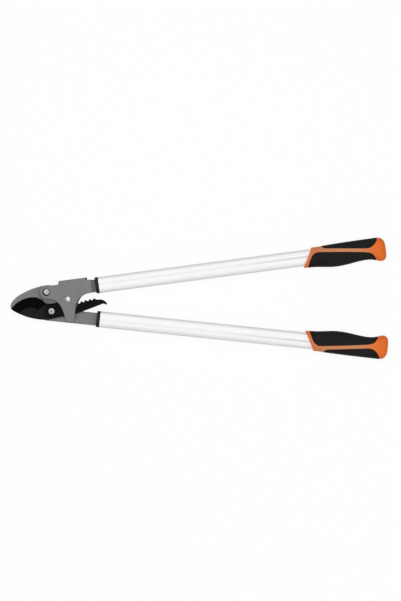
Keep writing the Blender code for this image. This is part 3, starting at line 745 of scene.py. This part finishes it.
def rack():
    """Toothed top of the bar, from its beak back to the seat of the pin."""
    pitch = (LAST_NOTCH[0] - FIRST_NOTCH[0]) / (NOTCHES - 1)
    centres = []
    for i in range(NOTCHES):
        t = i / (NOTCHES - 1)
        lift = 4.0 * NOTCH_BOW * t * (1.0 - t)
        height = FIRST_NOTCH[1] + (LAST_NOTCH[1] - FIRST_NOTCH[1]) * t + lift
        centres.append((FIRST_NOTCH[0] + pitch * i, height))
    peaks = [(x + TOOTH_LEAN * pitch, y + TOOTH_RISE - NOTCH_R) for x, y in centres]
    top = [peaks[-1]]
    for i in reversed(range(NOTCHES)):
        top += round_about(centres[i], NOTCH_R, -25.0, -150.0, 8)
        if i:
            top.append(peaks[i - 1])
    top += [(58.0, -25.0), (53.0, -23.6), (48.4, -20.0)]
    return top + round_about(PIN_SEAT, NOTCH_R, -62.0, -190.0, 10)


def make_bar(coat):
    """Ratchet bar with a round beak and its teeth's edges broken."""
    hub = round_about(BAR_PIVOT, BAR_HUB_R, 62.0, 281.0, 32)
    belly = smooth((hub[-1], (35.2, -49.0), (60.9, -42.7), (84.4, -34.4), (112.6, -23.6)), 5)
    beak = smooth((
        (112.6, -23.6), (115.6, -24.0), (118.8, -25.5), (120.6, -24.2), (119.2, -20.8), (115.8, -17.8),
        (111.4, -15.8), (106.0, -15.0), (99.4, -15.4),
    ), 4)
    left_lip = [(38.6, -11.6), (35.0, -17.5), (27.4, -22.8)]
    outline = hub + belly[1:] + beak[1:] + rack() + left_lip
    piece = drill(slab("toothed_bar", outline, *BAR_Z, BAR_EDGE), BAR_PIVOT, SCREW_HOLE)
    attach(piece, "bar_side", "black_coating", coat, "ratchet_bar")


def make_lever(steel):
    """Folded lever plate: two leaves with finely curved edges, and the web between them."""
    upper = HANDLES["upper"]
    eye = round_about(MAIN_PIVOT, EYE_R, 88.0, 270.0, 32)
    leg = smooth((eye[-1], (10.6, -14.2), (19.4, -18.4), (28.6, -29.0), (34.8, -43.6), (39.6, -56.4)), 6)
    foot = smooth((
        (39.6, -56.4), (42.4, -59.2), (46.8, -60.5), (52.0, -59.8), (55.4, -55.0), (56.9, -38.7),
        (58.6, -23.4),
    ), 6)
    arch = smooth(((64.6, -13.4), (74.4, -5.9), (83.0, -3.0), plan(upper, LEAF_END, -LEVER_HALF)), 6)
    rear, front = SPINE_ENDS
    top = [
        plan(upper, LEAF_END, LEVER_HALF), plan(upper, rear, 13.5), plan(upper, rear, SPINE_HEIGHT),
        plan(upper, front, SPINE_HEIGHT),
    ]
    saddle = smooth((plan(upper, front - 1.4, 11.6), (15.6, 13.5), (9.8, 13.1), (4.8, 13.5), eye[0]), 5)
    outline = eye + leg[1:] + foot[1:] + arch + top + saddle[:-1]
    folded = (len(outline) - len(saddle) - 1, len(outline) - len(saddle))
    drop = Vector((math.sin(upper.angle), -math.cos(upper.angle)))
    rows = []
    for depth in (0.0, LEVER_EDGE, 0.8, 1.3, SPINE_ROUND):
        fall = SPINE_ROUND - math.sqrt(SPINE_ROUND**2 - (SPINE_ROUND - depth) ** 2)
        ring = [Vector(point) for point in grown(outline, min(0.0, depth - LEVER_EDGE))]
        for i in folded:
            ring[i] = ring[i] + drop * fall
        rows.append((depth, ring))
    levels = [(depth - HEAD_HALF, ring) for depth, ring in rows]
    levels += [(HEAD_HALF - depth, ring) for depth, ring in reversed(rows)]
    piece = form("lever_fold", [[(x, y, z + LIFT) for x, y in ring] for z, ring in levels])
    inside = SPINE_HEIGHT - (HEAD_HALF - LEAF_BACK)
    corners = ((-300.0, -200.0), (100.0, -200.0), (100.0, inside), (-300.0, inside))
    slot = [plan(upper, along, across) for along, across in corners]
    combine(piece, slab("slot", slot, -LEAF_BACK, LEAF_BACK), "DIFFERENCE")
    drill(piece, MAIN_PIVOT, BOLT_HOLE)
    drill(piece, MAIN_PIVOT, RECESS_R, RECESS_FLOOR)
    drill(piece, PIN_SEAT, NOTCH_R)
    for rivet in RIVETS:
        drill(piece, plan(upper, *rivet), RIVET_HOLE, high=0.0)
    attach(piece, "lever_side", "steel_grey", steel, "lever_plate")


def make_tang(steel):
    """Block that fills the space between the leaves up to the ferrule, with a thinner tail past it."""
    upper = HANDLES["upper"]
    outline = [
        (62.0, 2.0), (67.0, -6.2), (75.6, -1.6), (84.0, -1.8), plan(upper, LEAF_END, -13.0),
        plan(upper, -7.5, -13.3), plan(upper, -0.2, -13.3), plan(upper, -0.2, -TAIL_HALF),
        plan(upper, TAIL_REACH, -TAIL_HALF), plan(upper, TAIL_REACH, TAIL_HALF),
        plan(upper, -0.2, TAIL_HALF), plan(upper, -0.2, 12.1), plan(upper, -34.0, 12.1),
    ]
    piece = slab("tang_block", outline, -TANG_TOP, TANG_TOP, LEVER_EDGE)
    corners = ((-0.2, -20.0), (60.0, -20.0), (60.0, 20.0), (-0.2, 20.0))
    tail = [plan(upper, along, across) for along, across in corners]
    for low, high in ((-20.0, -TAIL_TOP), (TAIL_TOP, 20.0)):
        combine(piece, slab("step", tail, low, high), "DIFFERENCE")
    for rivet in RIVETS:
        drill(piece, plan(upper, *rivet), RIVET_HOLE)
    attach(piece, "lever_side", "steel_grey", steel, "upper_tang")


def make_head_trim(shadow_black, shade):
    """Small dark pieces as painted shade: a ring for the bolt head's shadow, a plug in the fold's end and a
    rib along the arch.
    """
    # Painted shadow: a thin black ring, set off towards the lower left, stands for the bolt head's shadow in
    # its recess
    floor = RECESS_FLOOR + LIFT
    top = floor + SHADOW_RING_T
    rings = []
    for i in range(ROUND_SIDES):
        c, s = math.cos(math.tau * i / ROUND_SIDES), math.sin(math.tau * i / ROUND_SIDES)
        bore = (SHADOW_RING_BORE * c, SHADOW_RING_BORE * s)
        rim = (SHADOW_RING_R * c + SHADOW_RING_OFF[0], SHADOW_RING_R * s + SHADOW_RING_OFF[1])
        lip = ((SHADOW_RING_R - SHADOW_RING_EDGE) * c + SHADOW_RING_OFF[0], (SHADOW_RING_R - SHADOW_RING_EDGE) * s + SHADOW_RING_OFF[1])
        rings.append([(*bore, floor), (*rim, floor), (*rim, top - SHADOW_RING_EDGE), (*lip, top), (*bore, top)])
    attach(form("pivot_shadow_ring", rings, closed=True), "lever_side", "black_plastic", shadow_black)
    # Painted shade: a black plug stands for the shade in the fold's open end
    spots = ((-18.6, 13.9), (-15.5, 13.7), (-15.5, 17.0), (-17.6, 17.2))
    plug = [plan(HANDLES["upper"], along, across) for along, across in spots]
    attach(slab("fold_shade_plug", plug, PLUG_FLOOR, HEAD_HALF + PLUG_PROUD), "lever_side", "black_plastic", shadow_black)
    # Painted shade: the rib along the arch takes steel darkened to a tenth for the shadow inside the arch
    outer = smooth((
        (60.0, -31.0), (61.6, -25.0), (63.6, -20.0), (66.0, -15.6), (69.4, -10.6), (73.6, -6.6),
        (76.6, -4.6),
    ), 3)
    inner = [(74.6, -3.4), (67.4, -7.2), (63.6, -8.4), (59.4, -14.0), (56.0, -24.0), (55.6, -32.0)]
    rib = slab("arch_shade_rib", outer + inner, BAR_Z[1] + RIB_GAP, LEAF_BACK, LEVER_EDGE)
    attach(rib, "lever_side", "steel_grey", shade)


# Room


def make_floor():
    """White ground: bright to the camera, with part of the tool's soft shadow kept."""
    mesh = bpy.data.meshes.new("floor")
    corners = [(FLOOR_REACH * x, FLOOR_REACH * y, 0) for x, y in ((-1, -1), (1, -1), (1, 1), (-1, 1))]
    mesh.from_pydata(corners, [], [(0, 1, 2, 3)])
    floor = bpy.data.objects.new("floor", mesh)
    bpy.context.scene.collection.objects.link(floor)
    n = Nodes("floor_white")
    rays = n.add("ShaderNodeLightPath").outputs
    mirrored = n.math("MAXIMUM", rays["Is Glossy Ray"], rays["Is Transmission Ray"])
    seen = n.math("MAXIMUM", rays["Is Camera Ray"], mirrored)
    grey = (FLOOR_GREY, FLOOR_GREY, FLOOR_GREY, 1)
    diffuse = n.add("ShaderNodeBsdfDiffuse", {"Color": grey}).outputs[0]
    glow = n.add("ShaderNodeEmission", {"Color": (1, 1, 1, 1), "Strength": FLOOR_GLOW}).outputs[0]
    share = n.math("MULTIPLY", seen, FLOOR_HIDE)
    mix = n.add("ShaderNodeMixShader", {0: share, 1: diffuse, 2: glow}).outputs[0]
    n.tree.links.new(mix, n.tree.nodes["Material Output"].inputs["Surface"])
    floor.data.materials.append(n.material)


def make_world():
    """White surroundings, brighter to the camera and in reflections than as light on the tool."""
    world = bpy.data.worlds.new("studio")
    bpy.context.scene.world = world
    world.use_nodes = True
    tree = world.node_tree
    back = tree.nodes["Background"]
    back.inputs["Color"].default_value = (1, 1, 1, 1)
    rays = tree.nodes.new("ShaderNodeLightPath").outputs
    seen = rays["Is Camera Ray"]
    for ray in ("Is Transmission Ray", "Is Glossy Ray"):
        most = tree.nodes.new("ShaderNodeMath")
        most.operation = "MAXIMUM"
        tree.links.new(seen, most.inputs[0])
        tree.links.new(rays[ray], most.inputs[1])
        seen = most.outputs[0]
    strength = tree.nodes.new("ShaderNodeMapRange")
    tree.links.new(seen, strength.inputs["Value"])
    strength.inputs["To Min"].default_value = WORLD_LIGHT
    strength.inputs["To Max"].default_value = WORLD_SEEN
    tree.links.new(strength.outputs[0], back.inputs["Strength"])


def make_lamp(name, place, size, power):
    """Soft round lamp."""
    data = bpy.data.lights.new(name, "AREA")
    data.shape = "DISK"
    data.size = size
    data.energy = power
    data.specular_factor = LAMP_GLOSS
    lamp = bpy.data.objects.new(name, data)
    lamp.location = place
    lamp.rotation_euler = (Vector(LAMP_AIM) - Vector(place)).to_track_quat("-Z", "Y").to_euler()
    bpy.context.scene.collection.objects.link(lamp)


def make_camera():
    """Camera straight over the tool, at the height that gives the photograph's frame."""
    data = bpy.data.cameras.new("camera")
    data.lens = LENS
    data.sensor_width = SENSOR
    data.clip_end = CLIP_END
    camera = bpy.data.objects.new("camera", data)
    camera.location = (*VIEW_CENTRE, VIEW_HEIGHT * LENS / SENSOR + cad_high.z / 2.0)
    bpy.context.scene.collection.objects.link(camera)
    bpy.context.scene.camera = camera


make_camera()
make_floor()
make_world()
for lamp_name, (lamp_place, lamp_size, lamp_power) in LAMPS.items():
    make_lamp(lamp_name, lamp_place, lamp_size, lamp_power)
dress()
bpy.context.scene.view_settings.view_transform = "Standard"
